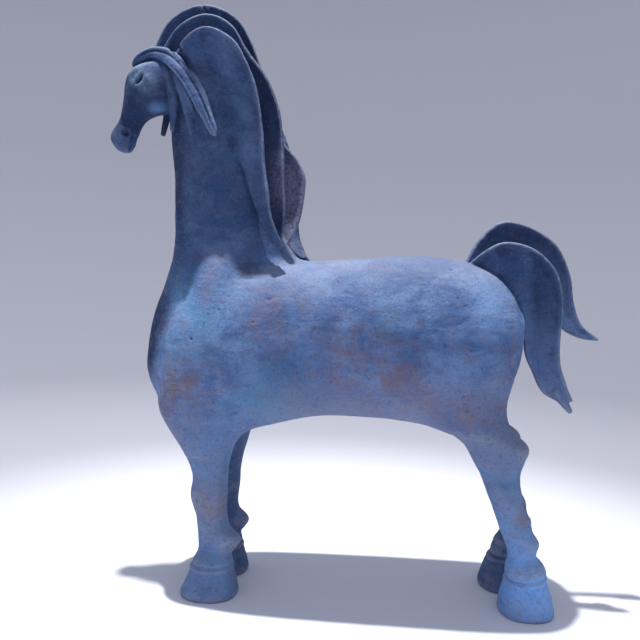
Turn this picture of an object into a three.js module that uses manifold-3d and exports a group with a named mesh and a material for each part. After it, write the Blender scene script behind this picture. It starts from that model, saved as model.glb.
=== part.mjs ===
// A standing ceramic horse: barrel body, tall neck, small head, four short legs on wide hooves,
// and a mane, forelock and tail laid on as leaf-like slabs and strands of clay, all one fired piece.
// Millimetres, +Z up. The length runs along X with the head at -X, and the left side faces -Y.
// The origin is on the ground under the middle of the horse.

import * as THREE from 'three';
import { mergeVertices } from 'three/addons/utils/BufferGeometryUtils.js';
import Module from 'manifold-3d';

const wasm = await Module();
wasm.setup();

// Driving sizes
const LEG_SPACING = 29;          // from the middle plane to the middle of each hoof
const BARREL_HALF = 71;          // half the width of the body
const NECK_HALF = 28;            // half the width of the neck at mid height
const SLAB = 7;                  // thickness of the mane and tail slabs
const LEAN = 0.35;               // how far the slabs lean in towards the middle plane
const EYE = { x: -211.4, z: 502.5, length: 13.4, height: 5.4, depth: 9, tilt: 0.88 };
const NOSTRIL = { x: -226.4, z: 451.3, radius: 2.8, depth: 6 };
const MOUTH = { x: -223, z: 441, length: 15, width: 2.4, depth: 3, tilt: 1.25 };

// Each station of a body form is [x, z] on its front or upper edge, [x, z] on its back or lower
// edge, and half its width across the horse. A form is a smooth skin through its stations.
const barrelStations = [
  [-182, 262, -180, 197, 0.48],
  [-168, 288, -166, 171, 0.72],
  [-135, 312, -130, 152, 0.89],
  [-90, 325, -92, 160, 0.96],
  [-35, 331, -32, 176, 0.99],
  [25, 336, 25, 177.5, 1],
  [75, 338.5, 73, 173, 1],
  [112, 334, 108, 163, 0.98],
  [139, 323, 134, 163, 0.92],
  [156.5, 306, 149, 182, 0.78],
  [166, 288, 157, 213, 0.58],
];

const neckStations = [
  [-187.5, 184, -96, 205, 1.4],
  [-200.5, 212, -72, 245, 1.35],
  [-201.5, 238, -56, 280, 1.25],
  [-197.5, 271, -46, 306, 1.2],
  [-190.5, 298, -48, 326, 1.18],
  [-182.5, 324, -58, 344, 1.14],
  [-178.5, 352, -72, 366, 1.08],
  [-177.5, 382, -84, 391, 1.1],
  [-178.5, 413, -92, 420, 1.02],
  [-182, 443, -97, 451, 0.95],
  [-184, 472, -101, 483, 0.91],
  [-186, 497, -111, 510, 0.86],
  [-188, 513, -134, 526, 0.68],
];

// The shoulders swell out behind the narrow front of the neck; half widths in millimetres
const shoulderStations = [
  [-164, 258, -84, 262, 57],
  [-162, 284, -86, 288, 52],
  [-156, 306, -92, 309, 45],
  [-149, 323, -102, 325, 36],
  [-141, 336, -113, 337, 25],
];

const headStations = [
  [-199, 524, -166, 528, 15],
  [-214, 521.5, -158, 512, 18.5],
  [-226, 514, -152, 498, 21],
  [-231, 503, -156, 486, 21.5],
  [-232, 491, -178, 479, 20],
  [-233.5, 478, -203, 471.5, 16],
  [-237, 465.5, -213, 463, 12],
  [-243.5, 456.5, -218, 451, 11.6],
  [-245.5, 447.5, -220.5, 443, 12.6],
  [-240, 439, -223.5, 437.5, 10],
];

// Each station of a leg is [height, front x, back x, half width, distance out from the middle]
const frontLeg = [
  [228, -176, -100, 31, 28],
  [203, -184, -92, 33, 28],
  [182, -184, -86, 33, 28],
  [164, -173.5, -97, 31, 28.5],
  [148, -161.5, -106.5, 27, LEG_SPACING],
  [133, -151.5, -111.5, 22.5, LEG_SPACING],
  [116, -146.5, -113, 19.5, LEG_SPACING],
  [97, -148.5, -113, 18.5, LEG_SPACING],
  [80, -143, -112.8, 16.5, LEG_SPACING],
  [66, -141.5, -109.5, 16, LEG_SPACING],
  [56, -141, -98.5, 15.5, LEG_SPACING],
  [49, -140.5, -100.5, 15.5, LEG_SPACING],
  [40, -141, -109, 16, LEG_SPACING],
];
const hindLeg = [
  [232, 90, 152, 31, 29],
  [208, 84, 152, 34, 28.5],
  [190, 84, 153, 34, 28.5],
  [174, 97, 160, 32, 29],
  [160, 115, 175.5, 27, LEG_SPACING],
  [146, 123.5, 172.5, 23, LEG_SPACING],
  [131, 132, 168.8, 19, LEG_SPACING],
  [113, 139, 171.5, 17.5, LEG_SPACING],
  [98, 145, 175.5, 16.5, LEG_SPACING],
  [90, 148, 180.5, 15.5, LEG_SPACING],
  [78, 152.5, 183.5, 15.5, LEG_SPACING],
  [68, 157, 190, 16, LEG_SPACING],
  [58, 161, 187.5, 15.5, LEG_SPACING],
  [50, 162.5, 188.5, 16, LEG_SPACING],
];

// Each station of a hoof is [height, front x, back x, half width]: the swollen coronet, the groove
// under it, and the wall that spreads to a flat sole
const frontHoof = [
  [44, -140.5, -107, 15.5],
  [36, -144.5, -107, 18.5],
  [31, -147, -105.5, 20.5],
  [27, -147.5, -106, 20.2],
  [14, -152, -102.5, 24.5],
  [3, -157, -100, 28],
];
const hindHoof = [
  [54, 162.5, 187.5, 15.5],
  [46, 160.5, 195.5, 19.5],
  [38, 159.5, 198, 21.5],
  [33, 160, 197, 20.5],
  [29, 159, 199, 21.5],
  [16, 155.5, 203.5, 25],
  [3, 153.5, 206, 27.5],
];

// The right legs stand a little apart from the left ones: [height, step along the length]
const rightFrontSway = [[0, 0], [56, -2], [100, 2], [140, 6], [190, 0]];
const rightHindSway = [[0, -10], [20, -8], [46, -2], [64, 6], [100, 9], [150, 5], [190, 0]];

// Each station of a leaf-like slab is [x, z] on its outer edge and [x, z] on its inner edge, which
// is buried in the horse for most of its run; across holds its place from left to right at even
// shares of its length, and the rim along the outer edge curls sideways by curl
const maneLeaves = [
  { // near leaf, laid on the left side of the neck
    stations: [[-177, 523, -172, 514], [-166, 538, -160, 510], [-143, 549, -143, 500],
      [-118, 538, -129, 484], [-104, 519, -123, 466], [-92, 490, -118, 448], [-85, 452, -111, 427],
      [-82.5, 424, -105, 414], [-78, 396, -97, 391], [-73, 368, -86, 365], [-61.5, 343, -70, 340]],
    across: [-17, -26, -29, -30, -32, -36, -38], curl: -5,
  },
  { // second leaf, swelling out behind the near one
    stations: [[-192, 536, -180, 518], [-176, 555, -165, 512], [-148, 567, -145, 505],
      [-122, 557, -131, 492], [-106, 533, -121, 474], [-86, 507, -111, 455], [-73, 478, -103, 434],
      [-68, 448, -97, 411], [-66, 415, -92, 388], [-64, 380, -84, 364], [-66, 350, -76, 347]],
    across: [-6, -11, -12, -13, -15, -17, -15], curl: -3,
  },
  { // tallest leaf, ending in a round lobe behind the neck
    stations: [[-203, 541, -184, 522], [-187, 568, -168, 515], [-155, 582, -148, 508],
      [-122, 571, -132, 497], [-103, 543, -121, 478], [-88, 500, -112, 455], [-72, 452, -104, 432],
      [-57, 434, -97, 412], [-47.5, 415, -91, 392], [-48, 388, -85, 372], [-54, 362, -76, 355],
      [-63, 344, -70, 345]],
    across: [5, 7, 7, 6, 5, 4, -2], curl: -4,
  },
  { // right leaf, laid on the right side of the neck
    stations: [[-182, 530, -176, 517], [-166, 550, -160, 512], [-142, 559, -143, 503],
      [-116, 546, -129, 488], [-100, 519, -120, 468], [-84, 485, -114, 448], [-69, 450, -107, 425],
      [-59, 420, -98, 400], [-57, 385, -86, 374], [-54, 356, -70, 350], [-44, 334, -52, 334]],
    across: [18, 27, 29, 30, 29, 25, 18], curl: 5,
  },
];
const tailLeaves = [
  { // near tail slab, ending in two points
    stations: [[112, 329, 118, 326], [129, 344.5, 132, 324], [147, 353.5, 146, 316],
      [170, 350, 157, 304], [188, 338, 164, 290], [200, 320, 169, 276], [205, 292, 171, 262],
      [203.5, 262, 173, 246], [205, 238, 181, 228], [212, 218, 192, 209], [220.5, 202, 210, 199]],
    across: [-4, -10, -13, -14, -14, -13, -10], curl: -5,
  },
  { // far tail slab, its tip kicked out behind
    stations: [[112, 331, 120, 327], [125, 355, 136, 328], [145, 374, 150, 332],
      [166, 374.5, 164, 328], [188, 365.5, 175, 316], [206, 350, 186, 304], [218, 324, 196, 292],
      [222.5, 297, 204, 281], [230, 277, 212, 270], [241, 267.5, 228, 262], [248, 262, 245, 260]],
    across: [4, 10, 13, 14, 14, 12, 9], curl: -3,
  },
];
const tailPoint = { path: [[203, 214], [211, 202], [219.5, 190.5]], across: [-10, -9, -9],
  radius: [6, 4.5, 2.4] };

// A strand is a tapering rope of clay along a path of [x, z] points, with its place across the
// horse and its radius given at even shares of its length
const strands = [
  // thin locks under the forelock, combed down the left side of the neck
  { path: [[-190, 520], [-181, 502], [-177, 486], [-176, 468], [-177, 452]],
    across: [-15, -18.5, -20, -20.5, -21], radius: [3, 5, 5, 4, 2] },
  { path: [[-181, 516], [-170, 499], [-163.5, 481], [-159, 463], [-156, 444]],
    across: [-17, -21.5, -22.5, -23, -23.5], radius: [3, 4.8, 4.8, 4, 2] },
  { path: [[-174, 509], [-165, 494], [-159, 478], [-155, 465]],
    across: [-19.5, -23, -24, -24.5], radius: [3, 4.4, 3.8, 1.6] },
  // plainer lock on the right side
  { path: [[-206, 520], [-192, 522], [-176, 508], [-165, 486], [-159, 462]],
    across: [11, 19, 25, 28, 29], radius: [3, 5, 5, 4.4, 2.2] },
  // lock hanging free behind the right cheek
  { path: [[-187, 499], [-191, 482], [-194.5, 468], [-197, 455]],
    across: [17, 16, 15.5, 15], radius: [4.4, 4, 3.4, 2.4] },
  // end of the mane lying on the withers
  { path: [[-74, 356], [-58, 338], [-44, 330]],
    across: [26, 28, 22], radius: [6, 5.4, 3.4] },
];

// The forelock is a bundle of strands side by side; width is how wide the bundle spreads
const forelocks = [
  { path: [[-221.5, 521], [-210, 528], [-197, 529.5], [-184, 525], [-172, 515.5], [-160.5, 502.5],
    [-150.5, 487.5], [-142, 470], [-134.5, 454], [-130.5, 446]],
  across: [-4, -8, -13, -19, -24.5, -28.5, -31, -33, -34.5, -35.5],
  width: [1, 5, 9, 11, 11.5, 11.5, 10.5, 8, 4, 1],
  radius: [2.2, 3, 3, 2.8, 2.8, 2.8, 2.7, 2.5, 2.2, 1.7], count: 4 },
  { path: [[-214, 520], [-202, 526], [-182, 527], [-162, 511], [-148, 485], [-141, 456]],
    across: [5, 9, 20, 28, 31, 33], width: [1, 9, 13, 13, 9, 1],
    radius: [2.6, 4.4, 4.8, 4.6, 4, 2.2], count: 3 },
];

// A smooth curve through rows of numbers, sampled at even steps of its parameter
function smoothRows(rows, count) {
  const last = rows.length - 1;
  return Array.from({ length: count }, (_, k) => {
    const t = (k / (count - 1)) * last;
    const i = Math.min(Math.floor(t), last - 1);
    const f = t - i;
    const [a, b, c, d] = [-1, 0, 1, 2].map((o) => rows[Math.min(Math.max(i + o, 0), last)]);
    return b.map((v, n) => v + 0.5 * f * (c[n] - a[n]
      + f * (2 * a[n] - 5 * v + 4 * c[n] - d[n] + f * (3 * (v - c[n]) + d[n] - a[n]))));
  });
}

// Reads evenly spaced values at any share of their length, with eased steps between them
function valueAlong(values, share) {
  const scaled = share * (values.length - 1);
  const i = Math.min(Math.floor(scaled), values.length - 2);
  return THREE.MathUtils.lerp(values[i], values[i + 1], THREE.MathUtils.smoothstep(scaled - i, 0, 1));
}

// Closed skin over rings of points, with the first and last ring closed by a middle point
function skin(rings) {
  const sides = rings[0].length;
  const positions = rings.flat();
  const indices = [];
  for (let r = 0; r + 1 < rings.length; r++) {
    for (let s = 0; s < sides; s++) {
      const a = r * sides + s;
      const b = r * sides + (s + 1) % sides;
      indices.push(a, b, b + sides, a, b + sides, a + sides);
    }
  }
  [[0, 1, 0], [rings.length - 1, 0, 1]].forEach(([ring, first, second]) => {
    const middle = new THREE.Vector3();
    rings[ring].forEach((p) => middle.addScaledVector(p, 1 / sides));
    positions.push(middle);
    for (let s = 0; s < sides; s++) {
      const pair = [ring * sides + s, ring * sides + (s + 1) % sides];
      indices.push(positions.length - 1, pair[first], pair[second]);
    }
  });
  const geometry = new THREE.BufferGeometry();
  geometry.setAttribute('position',
    new THREE.Float32BufferAttribute(positions.flatMap((p) => [p.x, p.y, p.z]), 3));
  geometry.setIndex(indices);
  return geometry;
}

// Geometry to solid; a skin that came out inside out is turned first
function solid(geometry) {
  const bare = geometry.clone();
  bare.deleteAttribute('normal');
  bare.deleteAttribute('uv');
  const merged = mergeVertices(bare, 1e-4);
  const triangles = Array.from(merged.index.array);
  const p = merged.attributes.position;
  let volume = 0;
  const [a, b, c] = [new THREE.Vector3(), new THREE.Vector3(), new THREE.Vector3()];
  for (let i = 0; i < triangles.length; i += 3) {
    a.fromBufferAttribute(p, triangles[i]);
    b.fromBufferAttribute(p, triangles[i + 1]);
    c.fromBufferAttribute(p, triangles[i + 2]);
    volume += a.dot(b.cross(c));
  }
  if (volume < 0) triangles.reverse();
  return new wasm.Manifold(new wasm.Mesh({
    numProp: 3, vertProperties: new Float32Array(p.array), triVerts: new Uint32Array(triangles),
  }));
}

// One ring between two edge points in the side view: an oval of the given half width, where a
// higher power makes it squarer
function ovalRing(front, back, half, middleY, sides, power) {
  const centre = new THREE.Vector3((front[0] + back[0]) / 2, middleY, (front[1] + back[1]) / 2);
  const reach = new THREE.Vector3((front[0] - back[0]) / 2, 0, (front[1] - back[1]) / 2);
  return Array.from({ length: sides }, (_, s) => {
    const turn = (s / sides) * Math.PI * 2;
    const [u, v] = [Math.cos(turn), Math.sin(turn)]
      .map((w) => Math.sign(w) * Math.abs(w) ** (2 / power));
    return centre.clone().addScaledVector(reach, u).add(new THREE.Vector3(0, v * half, 0));
  });
}

// Rounds off the end of a run of rings: shrinks copies of the last ring while they move outwards
function domeRings(rings, length, steps) {
  const [last, before] = [rings.at(-1), rings.at(-2)];
  const middle = (ring) => ring.reduce((m, p) => m.addScaledVector(p, 1 / ring.length),
    new THREE.Vector3());
  const centre = middle(last);
  const outward = centre.clone().sub(middle(before)).normalize();
  return Array.from({ length: steps }, (_, k) => {
    const turn = ((k + 1) / (steps + 0.35)) * (Math.PI / 2);
    return last.map((p) => p.clone().sub(centre).multiplyScalar(Math.cos(turn)).add(centre)
      .addScaledVector(outward, length * Math.sin(turn)));
  });
}

function domed(rings, startLength, endLength, steps) {
  const end = domeRings(rings, endLength, steps);
  const start = domeRings([...rings].reverse(), startLength, steps).reverse();
  return [...start, ...rings, ...end];
}

function bodyForm(stations, scale, { rings, sides, power, start, end }) {
  const rows = smoothRows(stations, rings).map(([fx, fz, bx, bz, half]) =>
    ovalRing([fx, fz], [bx, bz], half * scale, 0, sides, power));
  return solid(skin(domed(rows, start, end, 3)));
}

const barrel = () => bodyForm(barrelStations, BARREL_HALF,
  { rings: 15, sides: 22, power: 2.25, start: 9, end: 8 });
const neck = () => bodyForm(neckStations, NECK_HALF,
  { rings: 17, sides: 16, power: 2.1, start: 10, end: 8 });
const shoulders = () => bodyForm(shoulderStations, 1,
  { rings: 6, sides: 16, power: 2, start: 8, end: 6 });
const head = () => bodyForm(headStations, 1,
  { rings: 13, sides: 14, power: 2.15, start: 5, end: 3.5 });

// Reads a table of [position, value] rows at any position, with eased steps between rows
function tableAt(table, position) {
  const next = table.findIndex(([at]) => at >= position);
  if (next < 1) return next < 0 ? table.at(-1)[1] : table[0][1];
  const [[a, from], [b, to]] = [table[next - 1], table[next]];
  return from + (to - from) * THREE.MathUtils.smoothstep(position, a, b);
}

// A leg or hoof from stations of height, front, back and half width, swayed along the length
function uprightForm(stations, side, sway, { rings, sides, power, flat }) {
  const rows = smoothRows(stations, rings).map(([z, fx, bx, half, out = LEG_SPACING]) => {
    const shift = sway ? tableAt(sway, z) : 0;
    return ovalRing([fx + shift, z], [bx + shift, z], half, side * out, sides, power);
  });
  if (flat) rows.push(rows.at(-1).map((p) => new THREE.Vector3(p.x, p.y, 0)));
  return solid(skin(rows));
}

function leg(shape, hoofShape, side, sway) {
  return uprightForm(shape, side, sway, { rings: 15, sides: 12, power: 2.2 })
    .add(uprightForm(hoofShape, side, sway, { rings: 8, sides: 12, power: 2.3, flat: true }));
}

// A leaf-like slab between its outer and inner edge. It is thickest along the outer rim, thins to
// rounded edges, and leans towards the middle plane where it is buried in the horse.
function leafForm({ stations, across, curl }, rings) {
  const shares = [0, 0.22, 1];
  const rows = smoothRows(stations, rings).map(([ox, oz, ix, iz], k) => {
    const along = k / (rings - 1);
    const reach = Math.hypot(ix - ox, iz - oz);
    const middle = valueAlong(across, along);
    const taper = Math.min(1, 0.45 + 4 * along, 0.45 + 4 * (1 - along));
    const point = (inward, side) => {
      const depth = inward * reach;
      const edge = Math.min(1, 0.5 + depth / 5, 0.5 + (reach - depth) / 5);
      const half = (SLAB / 2) * taper * edge * (0.88 + 0.3 * Math.exp(-(((depth - 3) / 5) ** 2)));
      const y = middle * (1 - LEAN * inward) + curl * taper * Math.exp(-depth / 9);
      return new THREE.Vector3(ox + (ix - ox) * inward, y + side * half, oz + (iz - oz) * inward);
    };
    return [...shares.map((v) => point(v, -1)), ...shares.toReversed().map((v) => point(v, 1))];
  });
  return solid(skin(rows));
}

// A tapering rope of clay
function strandForm({ path, across, radius }, rings, sides) {
  const rows = path.map(([x, z], k) => [x, across[k], z, radius[k]]);
  const run = smoothRows(rows, rings);
  const ringsOut = run.map(([x, y, z, r], k) => {
    const [a, b] = [run[Math.max(k - 1, 0)], run[Math.min(k + 1, rings - 1)]];
    const along = new THREE.Vector3(b[0] - a[0], b[1] - a[1], b[2] - a[2]).normalize();
    const across1 = new THREE.Vector3(0, 1, 0).cross(along).normalize();
    const across2 = along.clone().cross(across1);
    return Array.from({ length: sides }, (_, s) => {
      const turn = (s / sides) * Math.PI * 2;
      return new THREE.Vector3(x, y, z).addScaledVector(across1, Math.cos(turn) * r)
        .addScaledVector(across2, Math.sin(turn) * r);
    });
  });
  return solid(skin(domed(ringsOut, radius[0] * 0.8, radius.at(-1) * 0.8, 1)));
}

// A bundle of strands side by side, each shifted across the run of the path
function bundleForms({ path, across, width, radius, count }) {
  return Array.from({ length: count }, (_, n) => {
    const place = n / (count - 1) - 0.5;
    const shifted = path.map(([x, z], k) => {
      const [a, b] = [path[Math.max(k - 1, 0)], path[Math.min(k + 1, path.length - 1)]];
      const run = Math.hypot(b[0] - a[0], b[1] - a[1]);
      const shift = place * width[k];
      return [x - (shift * (b[1] - a[1])) / run, z + (shift * (b[0] - a[0])) / run];
    });
    return strandForm({ path: shifted, across, radius }, 9, 5);
  });
}

// Eye, nostril and mouth are the same cut on both sides of the head
function headCuts() {
  const place = (geometry, { x, z }, y, tilt) => solid(geometry.applyMatrix4(
    new THREE.Matrix4().makeRotationY(-tilt).setPosition(x, y, z)));
  const cuts = [];
  [-1, 1].forEach((side) => {
    const eye = new THREE.SphereGeometry(1, 10, 6)
      .scale(EYE.length / 2, EYE.depth, EYE.height / 2);
    cuts.push(place(eye, EYE, side * 23, EYE.tilt));
    const nostril = new THREE.SphereGeometry(1, 8, 6)
      .scale(NOSTRIL.radius, NOSTRIL.depth, NOSTRIL.radius);
    cuts.push(place(nostril, NOSTRIL, side * 13, 0));
    const mouth = new THREE.SphereGeometry(1, 8, 4)
      .scale(MOUTH.length / 2, MOUTH.depth, MOUTH.width / 2);
    cuts.push(place(mouth, MOUTH, side * 12, MOUTH.tilt));
  });
  return cuts;
}

function horse() {
  const pieces = [barrel(), neck(), shoulders()];
  [-1, 1].forEach((side) => {
    pieces.push(leg(frontLeg, frontHoof, side, side > 0 ? rightFrontSway : null));
    pieces.push(leg(hindLeg, hindHoof, side, side > 0 ? rightHindSway : null));
  });
  maneLeaves.forEach((leaf) => pieces.push(leafForm(leaf, 17)));
  tailLeaves.forEach((leaf) => pieces.push(leafForm(leaf, 17)));
  strands.forEach((strand) => pieces.push(strandForm(strand, 7, 5)));
  forelocks.forEach((bundle) => pieces.push(...bundleForms(bundle)));
  pieces.push(strandForm(tailPoint, 4, 5));
  const cutHead = headCuts().reduce((form, cut) => form.subtract(cut), head());
  return pieces.reduce((form, piece) => form.add(piece), cutHead);
}

function geometryOf(form) {
  const mesh = form.getMesh();
  const geometry = new THREE.BufferGeometry();
  geometry.setAttribute('position', new THREE.Float32BufferAttribute(mesh.vertProperties, 3));
  geometry.setIndex(Array.from(mesh.triVerts));
  geometry.computeVertexNormals();
  return geometry;
}

const bluePaint = new THREE.MeshStandardMaterial({ color: 0x4f6ea8, roughness: 0.9, metalness: 0 });
const figure = new THREE.Mesh(geometryOf(horse()), bluePaint);
figure.name = 'horse_figure';

const group = new THREE.Group();
group.add(figure);

export default group;
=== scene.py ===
"""A standing horse in blue-painted fired clay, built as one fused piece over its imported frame."""

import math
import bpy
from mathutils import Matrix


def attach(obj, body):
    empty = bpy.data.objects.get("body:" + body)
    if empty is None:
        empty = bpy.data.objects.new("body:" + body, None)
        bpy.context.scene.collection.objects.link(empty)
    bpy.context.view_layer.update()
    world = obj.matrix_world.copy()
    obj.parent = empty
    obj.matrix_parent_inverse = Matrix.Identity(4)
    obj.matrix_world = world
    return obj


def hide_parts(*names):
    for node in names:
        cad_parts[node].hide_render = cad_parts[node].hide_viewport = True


bl_info = {
    "name": "Painted Clay Horse",
    "version": (1, 0, 0),
    "blender": (4, 5, 0),
    "location": "3D View > Sidebar > Clay Horse",
    "description": "Builds a blue-painted clay horse with leaf-like mane and tail slabs",
    "category": "Add Mesh",
}

import bpy
import numpy as np
from bpy.props import FloatProperty, FloatVectorProperty, IntProperty, PointerProperty
from mathutils import Matrix, Vector
from mathutils.kdtree import KDTree

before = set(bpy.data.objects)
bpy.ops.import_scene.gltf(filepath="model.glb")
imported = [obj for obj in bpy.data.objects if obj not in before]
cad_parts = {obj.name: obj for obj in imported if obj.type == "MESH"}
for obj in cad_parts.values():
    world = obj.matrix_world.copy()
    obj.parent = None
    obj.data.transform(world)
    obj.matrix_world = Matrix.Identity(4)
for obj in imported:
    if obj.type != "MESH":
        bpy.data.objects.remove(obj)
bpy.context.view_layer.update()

MM = 0.001
NODE = "horse_figure"

# Voxels that fuse the body's lumps, and then the whole figure
JOIN_VOXEL, FINE_VOXEL = 1.7 * MM, 1.0 * MM
# How finely the lofts, slabs, balls and strands are drawn
BODY_RINGS, BODY_SIDES = 110, 96
LEG_RINGS, LEG_SIDES = 90, 64
LEAF_RINGS, LEAF_COLUMNS = 170, 56
BALL_RINGS, BALL_SIDES = 16, 28
STRAND_STEPS, STRAND_SIDES = 60, 20
DOME_STEPS = 10
PIT_COUNT = 520

# Forms of the body in millimetres. A station is x, z on the front or upper edge, x, z on the
# back or lower edge, and half the width across the horse.
BARREL = [
    (-182, 262, -180, 197, 0.48), (-168, 288, -166, 171, 0.72), (-135, 312, -130, 152, 0.89),
    (-90, 325, -92, 160, 0.96), (-35, 331, -32, 176, 0.99), (25, 336, 25, 177.5, 1),
    (75, 338.5, 73, 173, 1), (112, 334, 108, 163, 0.98), (139, 323, 134, 163, 0.92),
    (156.5, 306, 149, 182, 0.78), (166, 288, 157, 213, 0.58),
]
NECK = [
    (-189.5, 184, -96, 205, 1.4), (-204.5, 212, -72, 245, 1.3), (-204.5, 238, -56, 280, 1.18),
    (-199.5, 271, -46, 306, 1.12), (-190.5, 298, -48, 326, 1.1), (-182.5, 324, -58, 344, 1.1),
    (-178.5, 352, -72, 366, 1.08), (-177.5, 382, -84, 391, 1.1), (-178.5, 413, -92, 420, 1.02),
    (-182, 443, -97, 451, 0.95), (-184, 472, -101, 483, 0.91), (-186, 497, -111, 510, 0.86),
    (-188, 513, -134, 526, 0.68),
]
SHOULDERS = [
    (-164, 258, -84, 262, 59), (-162, 287, -86, 291, 56), (-157, 310, -92, 313, 50),
    (-151, 329, -102, 331, 42), (-144, 345, -113, 346, 30),
]
HEAD = [
    (-199, 524, -166, 528, 15), (-214, 521.5, -158, 512, 18.5), (-226, 514, -152, 498, 21),
    (-231, 503, -156, 486, 21.5), (-232, 491, -178, 479, 20), (-233.5, 478, -203, 471.5, 16),
    (-237, 465.5, -213, 463, 12), (-243.5, 456.5, -218, 451, 11.6),
    (-245.5, 447.5, -220.5, 443, 12.6), (-240, 439, -223.5, 437.5, 10),
]
# A station of a leg or hoof is its height, front x, back x, half width and distance out
FRONT_LEG = [
    (228, -176, -100, 31, 28), (203, -184, -92, 33, 28), (182, -184, -86, 33, 28),
    (164, -173.5, -97, 31, 28.5), (148, -161.5, -106.5, 27, 29), (133, -151.5, -111.5, 22.5, 29),
    (116, -146.5, -113, 19.5, 29), (97, -148.5, -113, 18.5, 29), (80, -143, -112.8, 16.5, 29),
    (66, -141.5, -109.5, 16, 29), (56, -141, -98.5, 15.5, 29), (49, -140.5, -100.5, 15.5, 29),
    (40, -141, -109, 16, 29),
]
HIND_LEG = [
    (232, 90, 152, 31, 29), (208, 84, 152, 34, 28.5), (190, 84, 153, 34, 28.5),
    (174, 97, 160, 32, 29), (160, 115, 175.5, 27, 29), (146, 123.5, 172.5, 23, 29),
    (131, 132, 168.8, 19, 29), (113, 139, 171.5, 17.5, 29), (98, 145, 175.5, 16.5, 29),
    (90, 148, 180.5, 15.5, 29), (78, 152.5, 183.5, 15.5, 29), (68, 157, 190, 16, 29),
    (58, 161, 187.5, 15.5, 29), (50, 162.5, 188.5, 16, 29),
]
FRONT_HOOF = [
    (44, -140.5, -107, 15.5, 29), (36, -144.5, -107, 18.5, 29), (31, -147, -105.5, 20.5, 29),
    (26, -148, -105.5, 21.2, 29), (14, -152, -102.5, 24.5, 29), (3, -157, -100, 28, 29),
]
HIND_HOOF = [
    (54, 162.5, 187.5, 15.5, 29), (46, 160.5, 195.5, 19.5, 29), (38, 159.5, 198, 21.5, 29),
    (33, 160, 197, 20.5, 29), (29, 159, 199, 21.5, 29), (16, 155.5, 203.5, 25, 29),
    (3, 153.5, 206, 27.5, 29),
]
# The right legs stand a little apart from the left ones: height and step along the length
RIGHT_FRONT_SWAY = [(0, 0), (56, -2), (100, 2), (140, 6), (190, 0)]
RIGHT_HIND_SWAY = [(0, -10), (20, -8), (46, -2), (64, 6), (100, 9), (150, 5), (190, 0)]

# A leaf's station is x, z on its outer edge and x, z on its inner edge; across is its place from
# left to right along its length, and the rim curls sideways. It is rooted in the body by a share
# of its width, up to the share of its length where it comes free
MANE_LEAVES = {
    "near": dict(
        stations=[(-177, 523, -172, 514), (-166, 538, -160, 510), (-143, 549, -143, 500),
                  (-118, 538, -129, 484), (-104, 519, -123, 466), (-92, 490, -118, 448),
                  (-85, 452, -111, 427), (-82.5, 424, -105, 414), (-78, 396, -97, 391),
                  (-73, 368, -86, 365), (-61.5, 343, -70, 340)],
        across=(-17, -26, -29, -30, -32, -36, -38), curl=-5, root=0.8, free=0.62),
    "second": dict(
        stations=[(-192, 536, -180, 518), (-176, 555, -165, 512), (-148, 567, -145, 505),
                  (-122, 557, -131, 492), (-106, 533, -121, 474), (-86, 507, -111, 455),
                  (-73, 478, -103, 434), (-68, 448, -97, 411), (-66, 415, -92, 388),
                  (-64, 380, -84, 364), (-66, 350, -76, 347)],
        across=(-6, -11, -12, -13, -15, -17, -15), curl=-3, root=0.5, free=0.9),
    "tallest": dict(
        stations=[(-203, 541, -184, 522), (-187, 568, -168, 515), (-155, 582, -148, 508),
                  (-122, 571, -132, 497), (-103, 543, -121, 478), (-88, 500, -112, 455),
                  (-72, 452, -104, 432), (-57, 434, -97, 412), (-47.5, 415, -91, 392),
                  (-48, 388, -85, 372), (-54, 362, -76, 355), (-63, 344, -70, 345)],
        across=(5, 7, 7, 6, 5, 4, -2), curl=-4, root=0.3, free=0.8),
    "right": dict(
        stations=[(-182, 530, -176, 517), (-166, 550, -160, 512), (-142, 559, -143, 503),
                  (-116, 546, -129, 488), (-100, 519, -120, 468), (-84, 485, -114, 448),
                  (-69, 450, -107, 425), (-59, 420, -98, 400), (-57, 385, -86, 374),
                  (-54, 356, -70, 350), (-44, 334, -52, 334)],
        across=(18, 27, 29, 30, 29, 25, 18), curl=5, root=0.8, free=0.7),
}
TAIL_LEAVES = {
    "near": dict(
        stations=[(112, 329, 118, 326), (129, 344.5, 132, 324), (147, 353.5, 146, 316),
                  (170, 350, 157, 304), (188, 338, 164, 290), (200, 320, 169, 276),
                  (205, 292, 171, 262), (203.5, 262, 173, 246), (205, 238, 181, 228),
                  (212, 218, 192, 209), (220.5, 202, 210, 199)],
        across=(-4, -10, -13, -14, -14, -13, -10), curl=-5, root=0.5, free=0.55),
    "far": dict(
        stations=[(112, 331, 120, 327), (125, 355, 136, 328), (145, 374, 150, 332),
                  (166, 374.5, 164, 328), (188, 365.5, 175, 316), (206, 350, 186, 304),
                  (218, 324, 196, 292), (222.5, 297, 204, 281), (230, 277, 212, 270),
                  (241, 267.5, 228, 262), (248, 262, 245, 260)],
        across=(4, 10, 13, 14, 14, 12, 9), curl=-3, root=0.4, free=0.3),
}

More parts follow.
